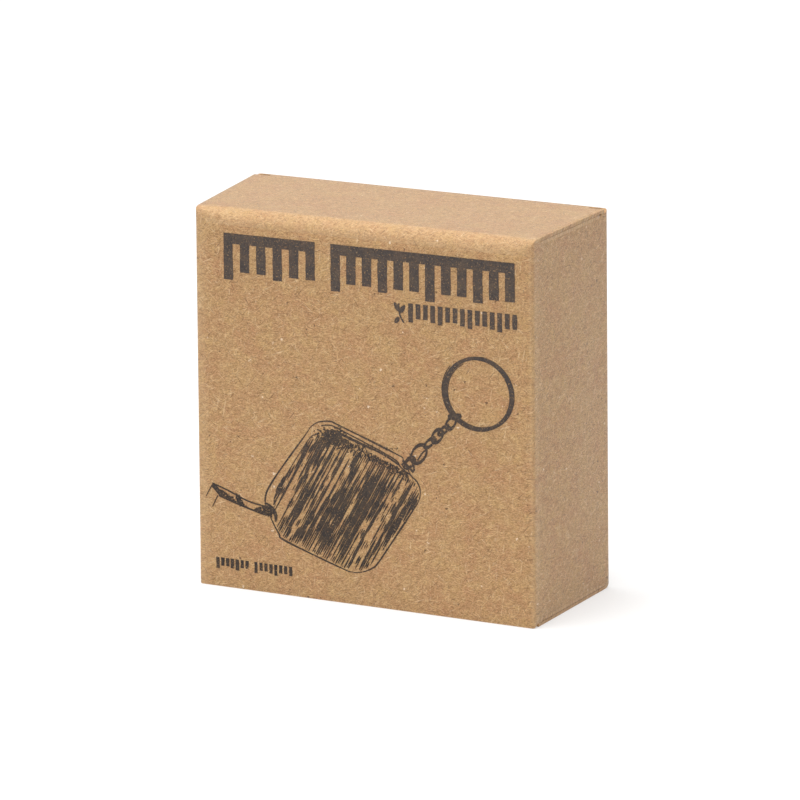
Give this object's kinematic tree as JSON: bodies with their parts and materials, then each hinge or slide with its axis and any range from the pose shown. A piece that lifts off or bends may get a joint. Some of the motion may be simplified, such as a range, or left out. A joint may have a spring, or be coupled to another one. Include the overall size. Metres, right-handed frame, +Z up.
{
  "type": "boxed keyring tape measure",
  "caption": "Closed kraft tuck-end carton holding a square bamboo keyring tape measure with a spring-wound blade, end hook, chain and split ring.",
  "frame": {"origin": "middle of the carton's base, on the surface that the carton stands on", "axes": "+X to the viewer's right when facing the printed front panel, +Y from the printed front panel towards the back, +Z up towards the tuck lid"},
  "size_m": [0.068, 0.03, 0.07],
  "materials": {
    "kraft_board": "matt uncoated brown board with visible fibres",
    "print_ink": "matt charcoal ink, slightly speckled",
    "bamboo": "fine upright grain, satin clear coat",
    "black_plastic": "matt moulded",
    "white_plastic": "satin moulded",
    "steel": "nickel-plated, lightly worn",
    "spring_steel": "blued spring strip",
    "tape_enamel": "yellow enamel with dark graduations"
  },
  "bodies": {
    "carton": {"front_panel": "kraft_board", "back_panel": "kraft_board", "right_panel": "kraft_board", "left_panel": "kraft_board", "glue_flap": "kraft_board", "base_lid": "kraft_board", "base_tuck_flap": "kraft_board", "base_dust_flap_left": "kraft_board", "base_dust_flap_right": "kraft_board"},
    "lid": {"top_lid": "kraft_board"},
    "tuck": {"top_tuck_flap": "kraft_board"},
    "dust_left": {"top_dust_flap_left": "kraft_board"},
    "dust_right": {"top_dust_flap_right": "kraft_board"},
    "tape_measure": {"case_front": "bamboo", "case_back": "bamboo", "mouth_plate": "steel", "capsule_cup": "black_plastic", "capsule_cover": "black_plastic", "winding_post": "steel", "chain_eyelet": "steel"},
    "drum": {"tape_drum": "white_plastic", "drum_flange": "white_plastic", "power_spring": "spring_steel", "tape_coil": "tape_enamel"},
    "blade": {"tape_blade": "tape_enamel", "end_hook": "steel", "hook_rivet_front": "steel", "hook_rivet_back": "steel"},
    "link_1": {"chain_link_1": "steel"},
    "link_2": {"chain_link_2": "steel"},
    "link_3": {"chain_link_3": "steel"},
    "link_4": {"chain_link_4": "steel"},
    "link_5": {"chain_link_5": "steel"},
    "jump_ring": {"jump_ring": "steel"},
    "split_ring": {"split_ring": "steel"}
  },
  "joints": [
    {"name": "take_out", "type": "slide", "parent": "carton", "child": "tape_measure", "axis": [0, 0, 1], "range_m": [0, 0.0715]},
    {"name": "lid_hinge", "type": "hinge", "parent": "carton", "child": "lid", "pos_m": [0, -0.0144, 0.0694], "axis": [1, 0, 0], "range_deg": [0, 170]},
    {"name": "tuck_hinge", "type": "hinge", "parent": "lid", "child": "tuck", "pos_m": [0, 0.01376, 0.06965], "axis": [1, 0, 0], "range_deg": [0, 60]},
    {"name": "dust_right_hinge", "type": "hinge", "parent": "carton", "child": "dust_right", "pos_m": [0.03381, 0, 0.06891], "axis": [0, 1, 0], "range_deg": [0, 150]},
    {"name": "dust_left_hinge", "type": "hinge", "parent": "carton", "child": "dust_left", "pos_m": [-0.03381, 0, 0.06891], "axis": [0, -1, 0], "range_deg": [0, 150]},
    {"name": "blade_pull", "type": "slide", "parent": "tape_measure", "child": "blade", "axis": [-1, 0, 0], "range_m": [0, 0.0165]},
    {"name": "drum_spin", "type": "hinge", "parent": "tape_measure", "child": "drum", "pos_m": [0.0055, 0.0007, 0.0223], "axis": [0, 1, 0], "range_deg": [0, 84]},
    {"name": "link_1_swing", "type": "hinge", "parent": "tape_measure", "child": "link_1", "pos_m": [0.02465, 0.0007, 0.04338], "axis": [0, 1, 0], "range_deg": [0, 15]},
    {"name": "link_2_swing", "type": "hinge", "parent": "link_1", "child": "link_2", "pos_m": [0.0213, 0.0007, 0.04494], "axis": [0, 1, 0], "range_deg": [0, 18]},
    {"name": "link_3_swing", "type": "hinge", "parent": "link_2", "child": "link_3", "pos_m": [0.0176, 0.0007, 0.04494], "axis": [0, 1, 0], "range_deg": [0, 18]},
    {"name": "link_4_swing", "type": "hinge", "parent": "link_3", "child": "link_4", "pos_m": [0.0139, 0.0007, 0.04494], "axis": [0, 1, 0], "range_deg": [0, 18]},
    {"name": "link_5_swing", "type": "hinge", "parent": "link_4", "child": "link_5", "pos_m": [0.0102, 0.0007, 0.04494], "axis": [0, 1, 0], "range_deg": [0, 18]},
    {"name": "jump_ring_swing", "type": "hinge", "parent": "link_5", "child": "jump_ring", "pos_m": [0.0058, 0.0007, 0.04494], "axis": [0, 1, 0], "range_deg": [0, 20]},
    {"name": "split_ring_swing", "type": "hinge", "parent": "jump_ring", "child": "split_ring", "pos_m": [0.00411, 0.0007, 0.0456], "axis": [0, 1, 0], "range_deg": [0, 40]}
  ],
  "couplings": [
    {"joint": "lid_hinge", "follows": "take_out", "rad_per_m": 41.497},
    {"joint": "tuck_hinge", "follows": "take_out", "rad_per_m": 12.449},
    {"joint": "dust_right_hinge", "follows": "take_out", "rad_per_m": 35.272},
    {"joint": "dust_left_hinge", "follows": "take_out", "rad_per_m": 35.272},
    {"joint": "drum_spin", "follows": "blade_pull", "rad_per_m": 86}
  ]
}
